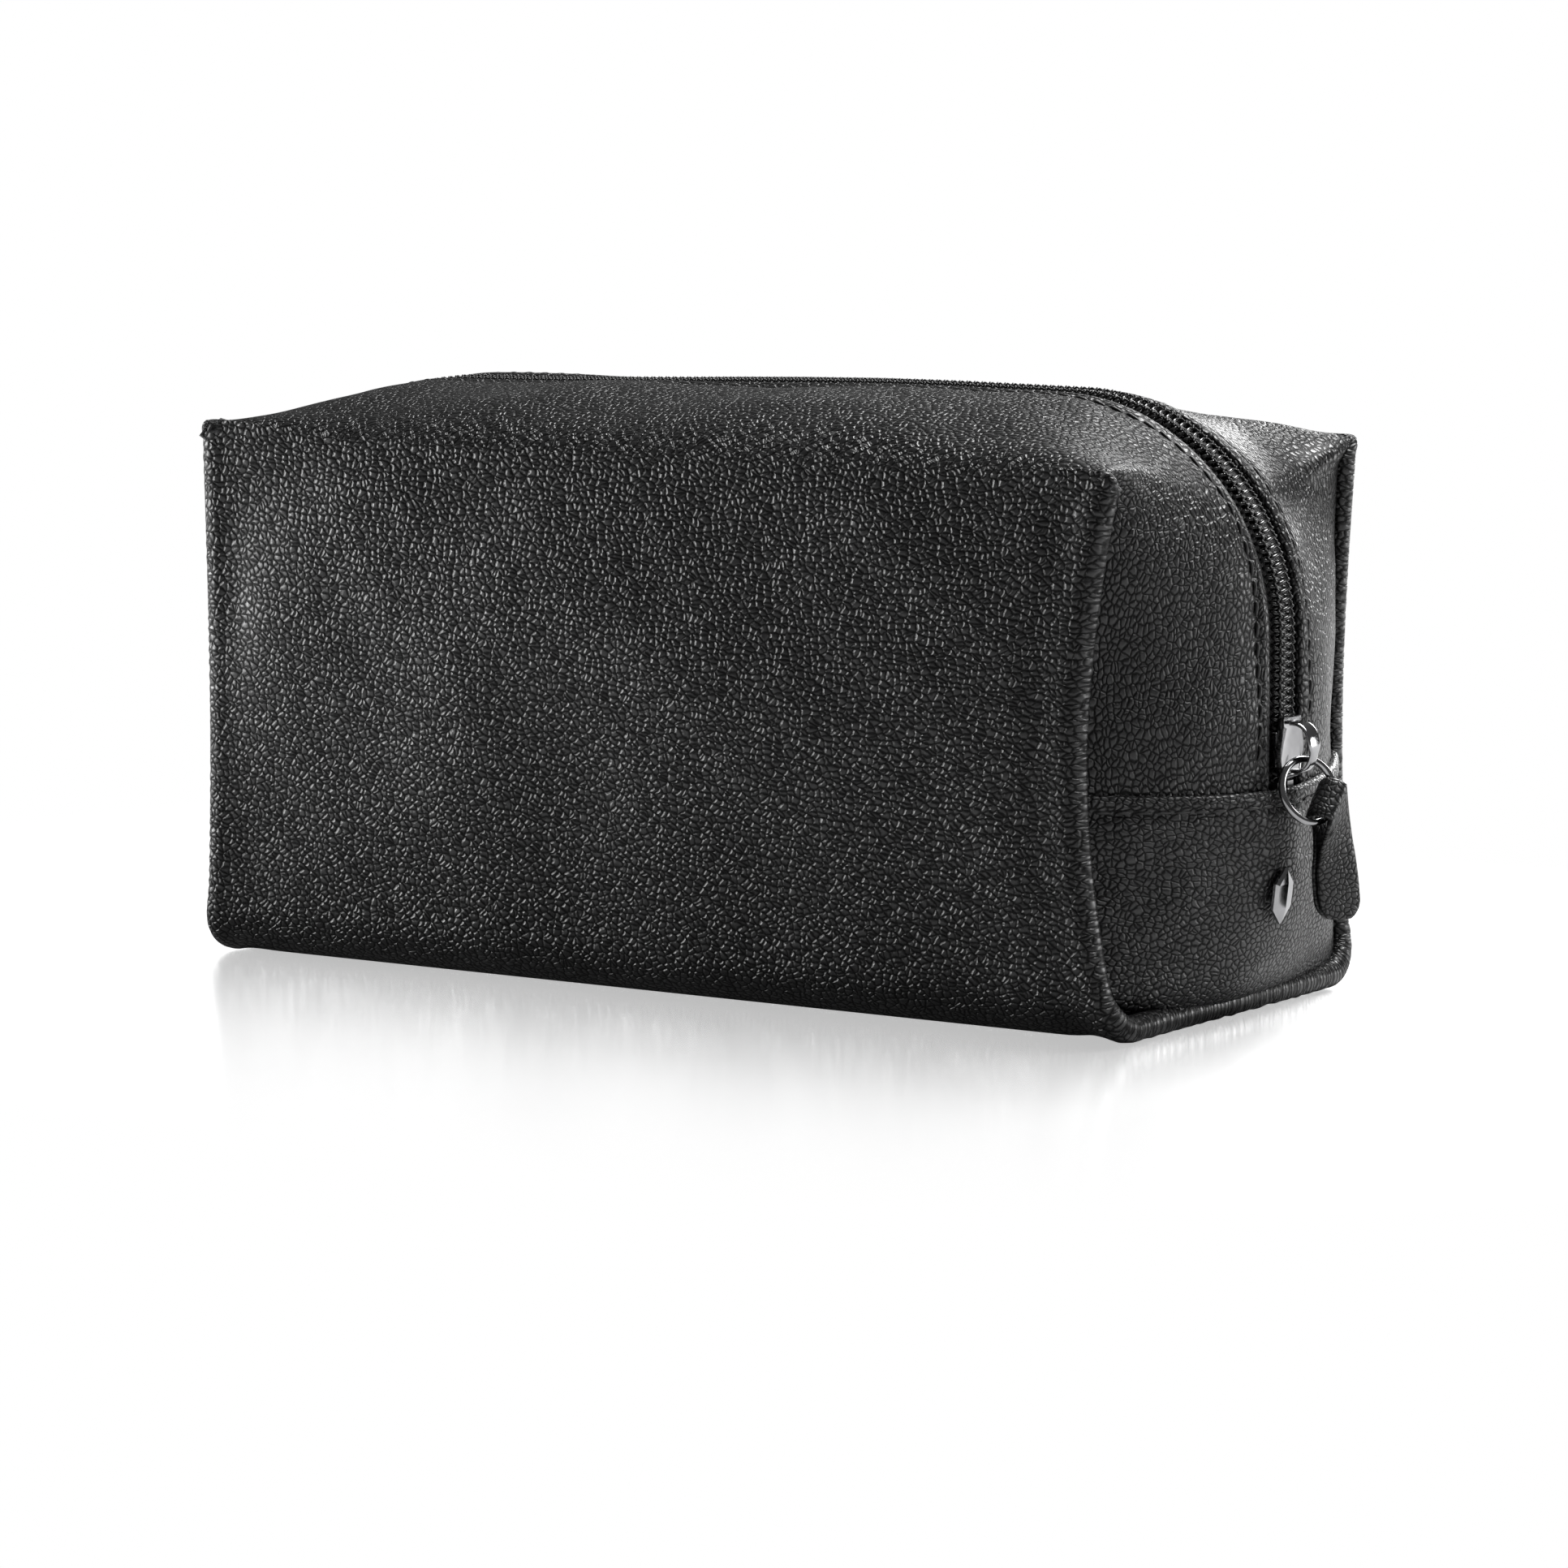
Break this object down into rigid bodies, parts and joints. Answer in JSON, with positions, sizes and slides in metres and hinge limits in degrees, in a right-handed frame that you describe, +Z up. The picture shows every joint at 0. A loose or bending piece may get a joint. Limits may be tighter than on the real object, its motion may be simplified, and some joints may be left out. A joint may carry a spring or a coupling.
{
  "type": "makeup bag",
  "caption": "Boxy padded leather makeup bag with a zip over the top and down both ends, a slider with ring and leather pull, and fold-open top flaps.",
  "frame": {"origin": "centre of the flat base, on the surface the bag stands on", "axes": "+X along the bag towards the end where the zip closes and the slider rests, +Y towards the back, +Z up"},
  "size_m": [0.2315, 0.098, 0.1107],
  "materials": {
    "body_leather": "black pebbled grain, semi-gloss",
    "pull_leather": "black fine grain, satin, with dark painted edges",
    "lining": "plain woven polyester, matte",
    "padding": "thin needled felt, matte",
    "board": "pressed fibre board, matte",
    "binding": "woven binding tape, matte",
    "zip_tape": "black herringbone tape, matte",
    "zip_coil": "black nylon coil, semi-gloss",
    "zip_metal": "blackened steel, satin",
    "dark_nickel": "polished dark nickel plating"
  },
  "bodies": {
    "bag": {"back_padding": "padding", "badge": "dark_nickel", "badge_washer": "zip_metal", "base_board": "board", "body_lining": "lining", "body_wrap": "body_leather", "end_lining_left": "lining", "end_lining_right": "lining", "end_padding_left": "padding", "end_padding_right": "padding", "end_panel_left": "body_leather", "end_panel_right": "body_leather", "front_padding": "padding", "seam_binding_left": "binding", "seam_binding_right": "binding", "shoulder_back_left": "body_leather", "shoulder_back_right": "body_leather", "shoulder_front_left": "body_leather", "shoulder_front_right": "body_leather", "shoulder_lining_back_left": "lining", "shoulder_lining_back_right": "lining", "shoulder_lining_front_left": "lining", "shoulder_lining_front_right": "lining", "zip_bottom_stop": "zip_metal", "zip_coil_back_left": "zip_coil", "zip_coil_back_right": "zip_coil", "zip_coil_front_left": "zip_coil", "zip_coil_front_right": "zip_coil", "zip_tape_back_left": "zip_tape", "zip_tape_back_right": "zip_tape", "zip_tape_front_left": "zip_tape", "zip_tape_front_right": "zip_tape", "zip_top_stop_back": "zip_metal", "zip_top_stop_front": "zip_metal"},
    "front_flap": {"flap_lining_front": "lining", "top_flap_front": "body_leather", "zip_coil_front_top": "zip_coil", "zip_tape_front_top": "zip_tape"},
    "back_flap": {"flap_lining_back": "lining", "top_flap_back": "body_leather", "zip_coil_back_top": "zip_coil", "zip_tape_back_top": "zip_tape"},
    "slider": {"slider_body": "dark_nickel", "slider_crown": "dark_nickel"},
    "ring": {"pull_ring": "dark_nickel"},
    "pull": {"pull_tab": "pull_leather"}
  },
  "joints": [
    {"name": "front_flap_hinge", "type": "hinge", "parent": "bag", "child": "front_flap", "pos_m": [0, -0.044, 0.0985], "axis": [1, 0, 0], "range_deg": [0, 70]},
    {"name": "back_flap_hinge", "type": "hinge", "parent": "bag", "child": "back_flap", "pos_m": [0, 0.044, 0.0985], "axis": [-1, 0, 0], "range_deg": [0, 70]},
    {"name": "slider_travel", "type": "slide", "parent": "bag", "child": "slider", "axis": [0, 0, 1], "range_m": [0, 0.016]},
    {"name": "ring_swing", "type": "hinge", "parent": "slider", "child": "ring", "pos_m": [0.112, 0, 0.047], "axis": [-0.4067, -0.9135, 0], "range_deg": [0, 140]},
    {"name": "pull_swing", "type": "hinge", "parent": "ring", "child": "pull", "pos_m": [0.1163, 0.00227, 0.03874], "axis": [-0.0042, -0.6721, -0.7405], "range_deg": [0, 60]}
  ]
}
